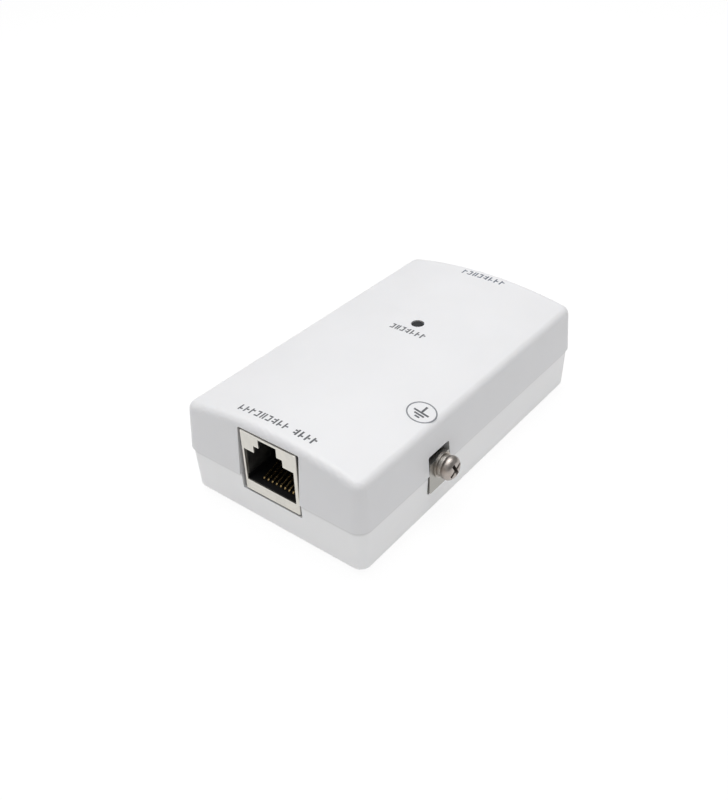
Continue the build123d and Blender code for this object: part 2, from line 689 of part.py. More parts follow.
with BuildPart() as ground_washers:
    rods(EARTH_PLANE, [EARTH_AXIS], 2.55, WASHER_T, hole_r=WASHER_HOLE_R)
    # split lock washer
    with BuildSketch(Plane.YZ.offset(EARTH_FACE + WASHER_T + 0.01)):
        with Locations(EARTH_AXIS):
            Circle(2.2)
            Circle(WASHER_HOLE_R, mode=Mode.SUBTRACT)
        with Locations((EARTH_Y + 1.8, EARTH_Z + 0.8)):
            Rectangle(2.2, 0.45, rotation=24, mode=Mode.SUBTRACT)
    extrude(amount=LOCK_T - 0.02)
save(ground_washers, "ground_washers")

HEAD_X = EARTH_FACE + WASHER_T + LOCK_T
with BuildPart() as ground_screw:
    screw_at_origin = pan_screw(
        head_r=2.4, head_h=2.0, shank_r=SHANK_R, length=8.0, pitch=0.45, recess_reach=1.75
    )
    point_inwards = Location((0, 0, 0), (0, 90, 0))
    turn_recess = Location((0, 0, 0), (0, 0, 28))
    add(
        screw_at_origin.moved(
            Location((HEAD_X, EARTH_Y, EARTH_Z)) * point_inwards * turn_recess
        )
    )
save(ground_screw, "ground_screw")

# ---------------------------------------------------------------------------
# Status light and its light pipe
# ---------------------------------------------------------------------------
LENS_R = 1.5
LENS_TOP = SEAT + 3.8    # centre of the domed end
with BuildPart() as status_led:
    rods(level(SEAT), [LED_XY], 1.9, 1.0)
    rods(level(LENS_TOP - 2.9), [LED_XY], LENS_R, 2.9)
    with Locations((*LED_XY, LENS_TOP)):
        Sphere(LENS_R)
save(status_led, "status_led")

with BuildPart() as status_led_leads:
    bars(level(PIN_END), LED_PIN_XY, 0.5, 0.5, SEAT - PIN_END)
save(status_led_leads, "status_led_leads")

PIPE_Z = 12.2
PIPE_TIP_Z = PIPE_SHOULDER_Z - 0.05
PIPE_TOP = 21.68
with BuildPart() as light_pipe:
    rods(level(PIPE_Z), [LED_XY], PIPE_R, PIPE_SHOULDER_Z - PIPE_Z)
    rods(level(PIPE_TIP_Z), [LED_XY], PIPE_TIP_R, PIPE_TOP - PIPE_TIP_Z)
    fillet(light_pipe.faces().sort_by(Axis.Z)[-1].edges(), 0.25)
save(light_pipe, "light_pipe")

# ---------------------------------------------------------------------------
# Board components
# ---------------------------------------------------------------------------
LEAD_PITCH = 1.27

# network transformer, with a round mark sunk in its top
TRAFO_XY = (10.2, 1.6)
TRAFO_W = 13.0
TRAFO_TOP = SEAT + 6.2
with BuildPart() as lan_transformer:
    add(chip(TRAFO_XY, TRAFO_W, 16.6, z0=SEAT + 0.3, z1=TRAFO_TOP, edge=0.4))
    mark_xy = (TRAFO_XY[0] - 5.3, TRAFO_XY[1] + 6.9)
    rods(level(TRAFO_TOP - 0.25), [mark_xy], 0.6, 1, mode=Mode.SUBTRACT)
save(lan_transformer, "lan_transformer")
with BuildPart() as lan_transformer_leads:
    add(
        gull_leads(
            TRAFO_XY, half_body=TRAFO_W / 2, half_span=8.1,
            offsets=[(i - 5.5) * LEAD_PITCH for i in range(12)], width=0.45, exit_z=SEAT + 2.0,
        )
    )
save(lan_transformer_leads, "lan_transformer_leads")

# power controller, with a round mark sunk in its top
PSE_XY = (-13.4, -22.6)
PSE_W = 3.9
PSE_TOP = SEAT + 1.6
with BuildPart() as power_controller:
    add(chip(PSE_XY, PSE_W, 9.9, z0=SEAT + 0.15, z1=PSE_TOP, edge=0.25))
    mark_xy = (PSE_XY[0] - 1.2, PSE_XY[1] + 4.2)
    rods(level(PSE_TOP - 0.12), [mark_xy], 0.35, 1, mode=Mode.SUBTRACT)
save(power_controller, "power_controller")
with BuildPart() as power_controller_leads:
    add(
        gull_leads(
            PSE_XY, half_body=PSE_W / 2, half_span=3.0,
            offsets=[(i - 3.5) * LEAD_PITCH for i in range(8)], width=0.42, exit_z=SEAT + 0.9,
        )
    )
save(power_controller_leads, "power_controller_leads")

FET_X, FET_Y = 13.4, 21.6
with BuildPart() as switch_transistor:
    add(chip((FET_X, FET_Y), 6.6, 6.1, z0=SEAT + 0.55, z1=SEAT + 2.3, edge=0.3))
save(switch_transistor, "switch_transistor")
with BuildPart() as switch_transistor_leads:
    # heat tab under the body, reaching out past its +Y end
    bars(level(SEAT), [(FET_X, FET_Y + 1.2)], 5.4, 6.4, 0.5)
    # gate and source leads at the -Y end
    lead_root, lead_knee, lead_toe = FET_Y - 3.06, FET_Y - 3.9, FET_Y - 5.1
    for offset in (-2.3, 2.3):
        with BuildSketch(Plane.YZ.offset(FET_X + offset)):
            with BuildLine():
                Polyline(
                    (lead_root, SEAT + 1.3),
                    (lead_knee, SEAT + 1.3),
                    (lead_knee - 0.2, SEAT + 0.4),
                    (lead_toe, SEAT + 0.4),
                    (lead_toe, SEAT),
                    (lead_knee + 0.1, SEAT),
                    (lead_knee + 0.35, SEAT + 0.9),
                    (lead_root, SEAT + 0.9),
                    close=True,
                )
            make_face()
        extrude(amount=0.35, both=True)
save(switch_transistor_leads, "switch_transistor_leads")

# capacitor can with a beaded foot and a rolled rim, built on the Z axis and moved
CAN_R = 3.95
CAN_Z0 = SEAT + 0.1
CAN_Z1 = SEAT + 11.4
CAN_LID_Z = CAN_Z1 - 0.12
with BuildPart() as can_at_origin:
    with BuildSketch(Plane.XZ):
        with BuildLine():
            Polyline((0, CAN_Z0), (CAN_R, CAN_Z0), (CAN_R, CAN_Z0 + 1.5))
            ThreePointArc((CAN_R, CAN_Z0 + 1.5), (3.6, CAN_Z0 + 1.85), (CAN_R, CAN_Z0 + 2.2))
            Line((CAN_R, CAN_Z0 + 2.2), (CAN_R, CAN_Z1 - 0.5))
            ThreePointArc((CAN_R, CAN_Z1 - 0.5), (3.80, CAN_Z1 - 0.15), (3.45, CAN_Z1))
            Polyline((3.45, CAN_Z1), (3.2, CAN_LID_Z), (0, CAN_LID_Z), (0, CAN_Z0))
        make_face()
    revolve(axis=Axis.Z)
    # vent score in the top
    with BuildSketch(level(CAN_Z1 - 0.3)):
        Rectangle(5.0, 0.25)
        Rectangle(0.25, 5.0)
    extrude(amount=1, mode=Mode.SUBTRACT)
with BuildPart() as capacitor_can:
    add(can_at_origin.part.moved(Location((*CAP_XY, 0))))
save(capacitor_can, "capacitor_can")

with BuildPart() as capacitor_sleeve:
    rods(level(SEAT + 0.3), [CAP_XY], CAN_R + 0.2, 10.9, hole_r=CAN_R + 0.05)
save(capacitor_sleeve, "capacitor_sleeve")

with BuildPart() as capacitor_leads:
    rods(level(PIN_END), CAP_PIN_XY, 0.3, SEAT + 0.09 - PIN_END)
save(capacitor_leads, "capacitor_leads")

with BuildPart() as choke_core:
    rods(level(7.3), [CHOKE_XY], 4.8, 4.4, hole_r=2.4)
    fillet(choke_core.edges().filter_by(GeomType.CIRCLE), 0.4)
save(choke_core, "choke_core")

# two groups of six turns, each turn a closed loop around the core's section
TURN_ANGLES = [*range(-50, 51, 20), *range(130, 231, 20)]
with BuildPart() as choke_windings:
    for angle in TURN_ANGLES:
        cosine, sine = math.cos(math.radians(angle)), math.sin(math.radians(angle))
        radial_plane = Plane(
            origin=(*CHOKE_XY, 0), x_dir=(cosine, sine, 0), z_dir=(sine, -cosine, 0)
        )
        with BuildSketch(radial_plane):
            with Locations((3.6, 9.5)):
                RectangleRounded(3.4, 5.5, 0.6)
                RectangleRounded(2.5, 4.6, 0.2, mode=Mode.SUBTRACT)
        extrude(amount=0.22, both=True)
    rods(level(PIN_END), CHOKE_PIN_XY, 0.25, 8.6 - PIN_END)
save(choke_windings, "choke_windings")

# disc capacitor standing on edge, built at the origin and moved
with BuildPart() as disc_at_origin:
    with BuildSketch(Plane.XZ):
        Circle(3.9)
    extrude(amount=1.5, both=True)
    fillet(disc_at_origin.edges().filter_by(GeomType.CIRCLE), 1.1)
with BuildPart() as safety_capacitor:
    add(disc_at_origin.part.moved(Location((*DISC_XY, SEAT + 5.2))))
save(safety_capacitor, "safety_capacitor")
with BuildPart() as safety_capacitor_leads:
    rods(level(PIN_END), DISC_PIN_XY, 0.3, SEAT + 2.4 - PIN_END)
save(safety_capacitor_leads, "safety_capacitor_leads")

FUSE_XY = (-13.4, 6.0)
with BuildPart() as fuse:
    add(chip(FUSE_XY, 4.6, 2.5, z0=SEAT, z1=SEAT + 2.4))
save(fuse, "fuse")
with BuildPart() as fuse_caps:
    cap_centres = [(FUSE_XY[0] + side * 2.71, FUSE_XY[1]) for side in (-1, 1)]
    bars(level(SEAT), cap_centres, 0.8, 2.6, 2.5)
    fillet(fuse_caps.edges().filter_by(Axis.Z), 0.15)
save(fuse_caps, "fuse_caps")

TVS_XY = (-3.0, 1.0)
TVS_W = 4.3
with BuildPart() as surge_diode:
    add(chip(TVS_XY, TVS_W, 3.6, z0=SEAT + 0.2, z1=SEAT + 2.4, edge=0.3))
save(surge_diode, "surge_diode")
with BuildPart() as surge_diode_leads:
    add(
        gull_leads(
            TVS_XY, half_body=TVS_W / 2, half_span=2.75, offsets=[0], width=2.0,
            exit_z=SEAT + 1.3,
        )
    )
save(surge_diode_leads, "surge_diode_leads")

# inductor with a ring groove in its top
IND_XY = (-13.4, 23.4)
IND_TOP = SEAT + 3.0
with BuildPart() as power_inductor:
    add(chip(IND_XY, 6.6, 6.6, z0=SEAT + 0.12, z1=IND_TOP, edge=0.5))
    rods(level(IND_TOP - 0.35), [IND_XY], 2.6, 1, hole_r=2.1, mode=Mode.SUBTRACT)
save(power_inductor, "power_inductor")
with BuildPart() as power_inductor_pads:
    pad_centres = [(IND_XY[0] + side * 2.6, IND_XY[1]) for side in (-1, 1)]
    bars(level(SEAT), pad_centres, 1.6, 5.0, 0.11)
save(power_inductor_pads, "power_inductor_pads")

with BuildPart() as sense_resistor:
    add(chip((13.4, 13.8), 6.3, 3.1, z0=SEAT, z1=SEAT + 0.65, edge=0.1))
save(sense_resistor, "sense_resistor")

# small two-ended chips, each one solid, at these (x, y) centres
RESISTOR_XY = [
    (-4.5, -17.2), (-1.5, -17.2), (1.5, -17.2), (4.5, -17.2),
    (-4.6, -7.0), (-4.6, -9.4), (6.5, 13.6), (6.5, 16.2),
]
CAPACITOR_XY = [
    (-4.5, -14.2), (-1.5, -14.2), (1.5, -14.2), (4.5, -14.2),
    (-1.0, -7.0), (-1.0, -9.4), (3.2, 17.0), (-3.4, 17.0), (-3.4, 14.4),
]
# name, centres, height, chamfer
for name, centres, height, edge in (
    ("chip_resistors", RESISTOR_XY, 0.5, 0.08),
    ("chip_capacitors", CAPACITOR_XY, 1.1, 0.1),
):
    with BuildPart() as small_chips:
        for centre in centres:
            add(chip(centre, 2.0, 1.25, z0=SEAT, z1=SEAT + height, edge=edge))
    save(small_chips, name)
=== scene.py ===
import json
import math

import bmesh
import bpy
import numpy as np
from mathutils import Matrix, Vector


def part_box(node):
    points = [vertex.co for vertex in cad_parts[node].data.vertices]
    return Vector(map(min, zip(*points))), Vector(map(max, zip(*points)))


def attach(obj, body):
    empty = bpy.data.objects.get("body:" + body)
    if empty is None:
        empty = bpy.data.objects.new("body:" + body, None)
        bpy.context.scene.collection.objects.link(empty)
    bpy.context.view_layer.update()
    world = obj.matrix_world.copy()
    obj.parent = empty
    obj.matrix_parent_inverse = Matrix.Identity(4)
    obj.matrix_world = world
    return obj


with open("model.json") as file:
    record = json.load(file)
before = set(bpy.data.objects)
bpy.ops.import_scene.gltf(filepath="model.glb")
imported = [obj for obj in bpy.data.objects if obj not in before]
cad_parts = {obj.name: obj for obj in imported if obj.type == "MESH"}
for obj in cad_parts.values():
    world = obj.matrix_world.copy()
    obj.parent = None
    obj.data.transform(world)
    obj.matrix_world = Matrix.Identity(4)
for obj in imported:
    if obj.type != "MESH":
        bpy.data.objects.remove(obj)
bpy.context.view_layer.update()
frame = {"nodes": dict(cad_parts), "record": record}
MM = 0.001

# ---------------------------------------------------------------------------
# the case's own numbers, read back from the frame
# ---------------------------------------------------------------------------
top_lo, top_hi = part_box("top_cover")
H = top_hi.z                       # middle of the crowned roof
CROWN_R = (21.5 ** 2 + 2.5 ** 2) / 5.0 * MM


def roof(x):
    """Height of the crowned roof at a place across the case."""
    return H - (CROWN_R - math.sqrt(CROWN_R ** 2 - x ** 2))


# ---------------------------------------------------------------------------
# node-material helpers
# ---------------------------------------------------------------------------
class Mat:
    """A small wrapper that keeps node graphs readable."""

    def __init__(self, name):
        self.m = bpy.data.materials.new(name)
        self.m.use_nodes = True
        self.t = self.m.node_tree
        self.n = self.t.nodes
        self.n.clear()
        self.out = self.n.new("ShaderNodeOutputMaterial")
        self.p = self.n.new("ShaderNodeBsdfPrincipled")
        self.link(self.p.outputs[0], self.out.inputs[0])
        tc = self.n.new("ShaderNodeTexCoord")
        self.co = tc.outputs["Object"]
        self.normal = None

    def link(self, a, b):
        self.t.links.new(a, b)

    def put(self, value, socket):
        if isinstance(value, bpy.types.NodeSocket):
            self.link(value, socket)
        elif isinstance(value, (tuple, list)) and len(value) == 3 and socket.type == "RGBA":
            socket.default_value = (*value, 1.0)
        else:
            socket.default_value = value

    def set(self, **kw):
        names = {
            "color": "Base Color", "rough": "Roughness", "metal": "Metallic", "ior": "IOR",
            "spec": "Specular IOR Level", "sss": "Subsurface Weight", "coat": "Coat Weight",
            "coat_rough": "Coat Roughness", "trans": "Transmission Weight", "aniso": "Anisotropic",
            "emit": "Emission Color", "emit_s": "Emission Strength", "normal": "Normal",
        }
        for k, v in kw.items():
            self.put(v, self.p.inputs[names[k]])

    def map(self, scale=(1, 1, 1), rot=(0, 0, 0), loc=(0, 0, 0), co=None):
        n = self.n.new("ShaderNodeMapping")
        self.link(co or self.co, n.inputs["Vector"])
        n.inputs["Scale"].default_value = scale
        n.inputs["Rotation"].default_value = rot
        n.inputs["Location"].default_value = loc
        return n.outputs[0]

    def noise(self, scale, detail=2.0, rough=0.5, co=None, distortion=0.0):
        n = self.n.new("ShaderNodeTexNoise")
        self.link(co or self.co, n.inputs["Vector"])
        n.inputs["Scale"].default_value = scale
        n.inputs["Detail"].default_value = detail
        n.inputs["Roughness"].default_value = rough
        n.inputs["Distortion"].default_value = distortion
        return n.outputs["Fac"]

    def voronoi(self, scale, feature="F1", co=None, out="Distance"):
        n = self.n.new("ShaderNodeTexVoronoi")
        n.feature = feature
        self.link(co or self.co, n.inputs["Vector"])
        n.inputs["Scale"].default_value = scale
        return n.outputs[out]

    def wave(self, scale, axis="X", kind="BANDS", distortion=0.0, detail=0.0, co=None):
        n = self.n.new("ShaderNodeTexWave")
        n.wave_type = kind
        if kind == "BANDS":
            n.bands_direction = axis
        else:
            n.rings_direction = axis
        self.link(co or self.co, n.inputs["Vector"])
        n.inputs["Scale"].default_value = scale
        n.inputs["Distortion"].default_value = distortion
        n.inputs["Detail"].default_value = detail
        return n.outputs["Fac"]

    def ramp(self, fac, stops):
        n = self.n.new("ShaderNodeValToRGB")
        self.link(fac, n.inputs[0])
        r = n.color_ramp
        while len(r.elements) < len(stops):
            r.elements.new(0.5)
        for e, (p, c) in zip(r.elements, stops):
            e.position = p
            e.color = (*c, 1.0) if isinstance(c, (tuple, list)) else (c, c, c, 1.0)
        return n.outputs[0]

    def range(self, fac, lo, hi, a=0.0, b=1.0):
        n = self.n.new("ShaderNodeMapRange")
        self.link(fac, n.inputs["Value"])
        for k, v in (("From Min", a), ("From Max", b), ("To Min", lo), ("To Max", hi)):
            n.inputs[k].default_value = v
        return n.outputs[0]

    def math(self, op, a, b=0.0):
        n = self.n.new("ShaderNodeMath")
        n.operation = op
        self.put(a, n.inputs[0])
        self.put(b, n.inputs[1])
        return n.outputs[0]

    def mix(self, fac, a, b, kind="MIX"):
        n = self.n.new("ShaderNodeMix")
        n.data_type = "RGBA"
        n.blend_type = kind
        self.put(fac, n.inputs[0])
        self.put(a, n.inputs[6])
        self.put(b, n.inputs[7])
        return n.outputs[2]

    def bump(self, height, strength, distance=0.00005):
        n = self.n.new("ShaderNodeBump")
        self.put(height, n.inputs["Height"])
        n.inputs["Strength"].default_value = strength
        n.inputs["Distance"].default_value = distance
        if self.normal is not None:
            self.link(self.normal, n.inputs["Normal"])
        self.normal = n.outputs[0]
        self.link(self.normal, self.p.inputs["Normal"])
        return self.normal

    def edge(self, radius=0.0006):
        """0 on flat ground, towards 1 where the surface turns a corner."""
        b = self.n.new("ShaderNodeBevel")
        b.samples = 4
        b.inputs["Radius"].default_value = radius
        g = self.n.new("ShaderNodeNewGeometry")
        d = self.n.new("ShaderNodeVectorMath")
        d.operation = "DOT_PRODUCT"
        self.link(b.outputs[0], d.inputs[0])
        self.link(g.outputs["Normal"], d.inputs[1])
        return self.range(d.outputs["Value"], 1.0, 0.0, 0.86, 0.995)

    def ao(self, distance):
        n = self.n.new("ShaderNodeAmbientOcclusion")
        n.samples = 6
        n.inputs["Distance"].default_value = distance
        return n.outputs["AO"]


def moulded(name, color, rough=0.42, grain=0.35, hollow_shade_tint=(0.80, 0.79, 0.76), grain_mm=0.22, sss=0.0, wear=0.25,
            hollow_at=0.85, hollow_max=0.55, reach=0.0012, seam=None):
    """Moulded plastic: spark-eroded grain, faint flow clouding, polished high edges, painted shade in the hollows and,
    when a seam height is given, a painted shadow band under the parting line.
    """
    m = Mat(name)
    clouds = m.noise(60, 3, 0.6)
    fine = m.noise(1.0 / (grain_mm * MM), 3, 0.62)
    pits = m.voronoi(1.0 / (grain_mm * 1.9 * MM))
    base = m.mix(m.range(clouds, 0.0, 1.0, 0.3, 0.7), tuple(c * 0.985 for c in color), tuple(min(1, c * 1.012) for c in color))
    base = m.mix(m.range(fine, 0.0, 0.10, 0.35, 0.75), base, tuple(c * 0.94 for c in color))
    edge = m.edge(0.0007)
    base = m.mix(m.math("MULTIPLY", edge, wear), base, tuple(min(1, c * 1.05 + 0.01) for c in color))
    # painted shade: the colour is darkened where ambient occlusion finds a hollow
    hollow_shade = m.range(m.ao(reach), hollow_max, 0.0, 0.25, hollow_at)
    base = m.mix(hollow_shade, base, tuple(c * d for c, d in zip(color, hollow_shade_tint)))
    if seam is not None:
        # painted shadow: a patchy band darkened just under the parting line, where the upper shell's overhang shades
        # the lower shell
        sep = m.n.new("ShaderNodeSeparateXYZ")
        m.link(m.co, sep.inputs[0])
        seam_shadow = m.range(sep.outputs["Z"], 0.0, 1.0, seam - 0.00100, seam - 0.00055)
        patchy = m.range(clouds, 0.75, 1.0, 0.35, 0.6)
        base = m.mix(m.math("MULTIPLY", seam_shadow, patchy), base, tuple(c * 0.76 for c in color))
    r = m.range(m.noise(180, 4, 0.6), rough - 0.05, rough + 0.06, 0.3, 0.7)
    r = m.math("SUBTRACT", r, m.math("MULTIPLY", edge, 0.10))
    m.set(color=base, rough=r, ior=1.52, spec=0.5)
    if sss:
        m.p.inputs["Subsurface Weight"].default_value = sss
        m.p.inputs["Subsurface Radius"].default_value = (0.0009, 0.0008, 0.0007)
        m.p.inputs["Subsurface Scale"].default_value = 1.0
    m.bump(m.math("ADD", m.math("MULTIPLY", fine, 0.7), m.math("MULTIPLY", pits, 0.5)), grain, 0.00002)
    m.bump(m.noise(45, 2, 0.5), 0.10, 0.00012)
    return m.m


def sheet_metal(name, color, rough=0.26, along="X", tint=(1.0, 0.94, 0.84), scratch=0.35, shade_behind=None):
    """Plated sheet: rolled grain along one direction, cloudy plating, a painted highlight on the bent edges, painted
    shade in the hollows.
    """
    m = Mat(name)
    sc = {"X": (60, 3800, 3800), "Y": (3800, 60, 3800), "Z": (3800, 3800, 60)}[along]
    grain = m.noise(1.0, 4, 0.7, co=m.map(scale=sc))
    cloud = m.noise(420, 4, 0.6)
    fleck = m.noise(5200, 2, 0.6)
    base = m.mix(m.range(cloud, 0, 1, 0.32, 0.68), tuple(c * 0.90 for c in color), color)
    base = m.mix(m.range(cloud, 0, 0.35, 0.5, 0.8), base, tuple(c * t for c, t in zip(color, tint)))
    edge = m.edge(0.0004)
    # painted highlight: the colour is brightened along the bent edges
    base = m.mix(m.math("MULTIPLY", edge, 0.6), base, tuple(min(1, c * 1.15) for c in color))
    # painted shade: the colour is darkened where ambient occlusion finds a hollow
    hollow_shade = m.range(m.ao(0.0010), 0.7, 0.0, 0.2, 0.8)
    base = m.mix(hollow_shade, base, tuple(c * 0.45 for c in color))
    r = m.range(grain, rough - 0.07, rough + 0.12, 0.3, 0.7)
    if shade_behind is not None:
        # painted shade: the folded-in faces behind the front plate are darkened almost to black, and made rougher
        sep = m.n.new("ShaderNodeSeparateXYZ")
        m.link(m.co, sep.inputs[0])
        behind_shade = m.range(m.math("ABSOLUTE", sep.outputs["Y"]), 1.0, 0.0, shade_behind - 0.0004, shade_behind)
        base = m.mix(m.math("MULTIPLY", behind_shade, m.range(cloud, 0.84, 0.97, 0.3, 0.7)), base, (0.020, 0.020, 0.022))
        r = m.math("ADD", r, m.math("MULTIPLY", behind_shade, 0.25))
    r = m.math("ADD", r, m.range(fleck, 0.0, 0.05, 0.4, 0.7))
    m.set(color=base, rough=r, metal=1.0, aniso=0.35)
    m.bump(grain, scratch, 0.000012)
    m.bump(fleck, 0.15, 0.00001)
    return m.m


def turned_metal(name, color, axis_point, axis="X", rough=0.2):
    """A turned or headed fastener: faint rings about its axis, rubbed high spots, painted shade in the hollows."""
    m = Mat(name)
    co = m.map(loc=tuple(-v for v in axis_point))
    rings = m.wave(2600, axis, "RINGS", 0.6, 2, co=co)
    cloud = m.noise(700, 4, 0.65)
    base = m.mix(m.range(cloud, 0, 1, 0.3, 0.7), tuple(c * 0.82 for c in color), color)
    base = m.mix(m.range(m.noise(260, 2, 0.5), 0, 0.5, 0.45, 0.75), base, (color[0] * 0.95, color[1] * 0.80, color[2] * 0.66))
    edge = m.edge(0.0003)
    base = m.mix(m.math("MULTIPLY", edge, 0.6), base, tuple(min(1, c * 1.3) for c in color))
    # painted shade: the colour is darkened where ambient occlusion finds a hollow
    hollow_shade = m.range(m.ao(0.0009), 0.85, 0.0, 0.2, 0.85)
    base = m.mix(hollow_shade, base, (0.045, 0.030, 0.024))
    r = m.range(cloud, rough - 0.05, rough + 0.12, 0.3, 0.7)
    m.set(color=base, rough=r, metal=1.0)
    m.bump(rings, 0.10, 0.00001)
    m.bump(m.noise(2400, 3, 0.6), 0.12, 0.00001)
    return m.m


def wire_metal(name, color, rough=0.22, dark=0.5):
    m = Mat(name)
    cloud = m.noise(900, 4, 0.6)
    fine = m.noise(7000, 2, 0.6)
    base = m.mix(m.range(cloud, 0, 1, 0.3, 0.7), tuple(c * 0.86 for c in color), color)
    # painted shade: the colour is darkened where ambient occlusion finds a hollow
    base = m.mix(m.range(m.ao(0.0006), 0.7, 0.0, 0.2, 0.8), base, tuple(c * dark for c in color))
    m.set(color=base, rough=m.range(cloud, rough - 0.05, rough + 0.1, 0.3, 0.7), metal=1.0)
    m.bump(fine, 0.2, 0.000008)
    return m.m


def rubber(name, color):
    m = Mat(name)
    fine = m.noise(6000, 3, 0.7)
    cloud = m.noise(500, 3, 0.6)
    base = m.mix(m.range(cloud, 0, 1, 0.3, 0.7), tuple(c * 0.8 for c in color), tuple(c * 1.25 for c in color))
    dust = m.range(fine, 0.0, 0.25, 0.55, 0.8)
    base = m.mix(dust, base, (0.22, 0.21, 0.20))
    m.set(color=base, rough=m.range(fine, 0.72, 0.92, 0.3, 0.7), spec=0.35)
    m.bump(fine, 0.45, 0.00003)
    return m.m


def board(name):
    """Green solder mask over copper: routed tracks, pour areas, bare laminate at the sawn edges."""
    m = Mat(name)
    mask = (0.010, 0.115, 0.045)
    copper = (0.018, 0.185, 0.070)
    cells = m.voronoi(420, "DISTANCE_TO_EDGE", co=m.map(scale=(1, 1, 0.01)))
    tracks_a = m.wave(520, "X", "BANDS", 3.0, 1, co=m.map(scale=(1, 1, 0.01)))
    tracks_b = m.wave(430, "Y", "BANDS", 3.0, 1, co=m.map(scale=(1, 1, 0.01)))
    pick = m.range(m.noise(120, 1, 0.4, co=m.map(scale=(1, 1, 0.01))), 0, 1, 0.48, 0.52)
    tr = m.mix(pick, tracks_a, tracks_b)
    on = m.range(tr, 0, 1, 0.55, 0.62)
    pour = m.range(cells, 0, 1, 0.06, 0.10)
    cover = m.math("MULTIPLY", on, pour)
    base = m.mix(cover, mask, copper)
    g = m.n.new("ShaderNodeNewGeometry")
    sep = m.n.new("ShaderNodeSeparateXYZ")
    m.link(g.outputs["True Normal"], sep.inputs[0])
    side = m.range(m.math("ABSOLUTE", sep.outputs["Z"]), 1.0, 0.0, 0.3, 0.6)
    weave = m.noise(5000, 2, 0.6)
    laminate = m.mix(weave, (0.33, 0.30, 0.13), (0.46, 0.43, 0.22))
    base = m.mix(side, base, laminate)
    m.set(color=base, rough=m.range(m.noise(800, 3, 0.5), 0.24, 0.36, 0.3, 0.7), ior=1.5, coat=0.3, coat_rough=0.2)
    m.bump(cover, 0.5, 0.00003)
    m.bump(m.noise(2500, 2, 0.5), 0.06, 0.00002)
    return m.m


def ceramic(name, color, rough=0.5, speck=0.3, gloss=0.0):
    m = Mat(name)
    fine = m.noise(6500, 3, 0.7)
    cloud = m.noise(600, 3, 0.6)
    base = m.mix(m.range(cloud, 0, 1, 0.3, 0.7), tuple(c * 0.84 for c in color), tuple(min(1, c * 1.12) for c in color))
    base = m.mix(m.range(fine, 0.0, speck, 0.5, 0.8), base, tuple(min(1, c * 1.5 + 0.02) for c in color))
    m.set(color=base, rough=m.range(fine, rough - 0.08, rough + 0.1, 0.3, 0.7), coat=gloss, coat_rough=0.12)
    m.bump(fine, 0.25, 0.00002)
    return m.m


def film(name, color, rough=0.32):
    m = Mat(name)
    fine = m.noise(3800, 3, 0.55)
    cloud = m.noise(140, 3, 0.6)
    base = m.mix(m.range(cloud, 0, 1, 0.3, 0.7), tuple(c * 0.96 for c in color), color)
    base = m.mix(m.range(fine, 0, 0.10, 0.4, 0.7), base, tuple(c * 0.85 for c in color))
    m.set(color=base, rough=m.range(cloud, rough - 0.05, rough + 0.06, 0.3, 0.7), coat=0.35, coat_rough=0.18)
    m.bump(fine, 0.08, 0.00001)
    m.bump(cloud, 0.06, 0.00008)
    return m.m


def ink(name, color):
    """Pad-printed ink: slightly uneven lay-down, a touch glossier than the moulding under it."""
    m = Mat(name)
    fine = m.noise(7000, 3, 0.7)
    cloud = m.noise(900, 2, 0.5)
    base = m.mix(m.range(fine, 0.0, 0.35, 0.5, 0.85), color, tuple(min(1, c * 1.7 + 0.05) for c in color))
    base = m.mix(m.range(cloud, 0.0, 0.25, 0.35, 0.7), base, tuple(c * 0.8 for c in color))
    m.set(color=base, rough=m.range(fine, 0.32, 0.5, 0.3, 0.7))
    m.bump(fine, 0.2, 0.000008)
    return m.m


def smoked(name, color):
    """Smoked acrylic: dark body, glossy skin, faint swirl."""
    m = Mat(name)
    swirl = m.noise(900, 4, 0.6, distortion=1.5)
    base = m.mix(m.range(swirl, 0, 1, 0.3, 0.7), tuple(c * 0.6 for c in color), tuple(c * 1.3 for c in color))
    m.set(color=base, rough=m.range(swirl, 0.10, 0.2, 0.3, 0.7), coat=0.6, coat_rough=0.06)
    m.bump(swirl, 0.05, 0.00001)
    return m.m


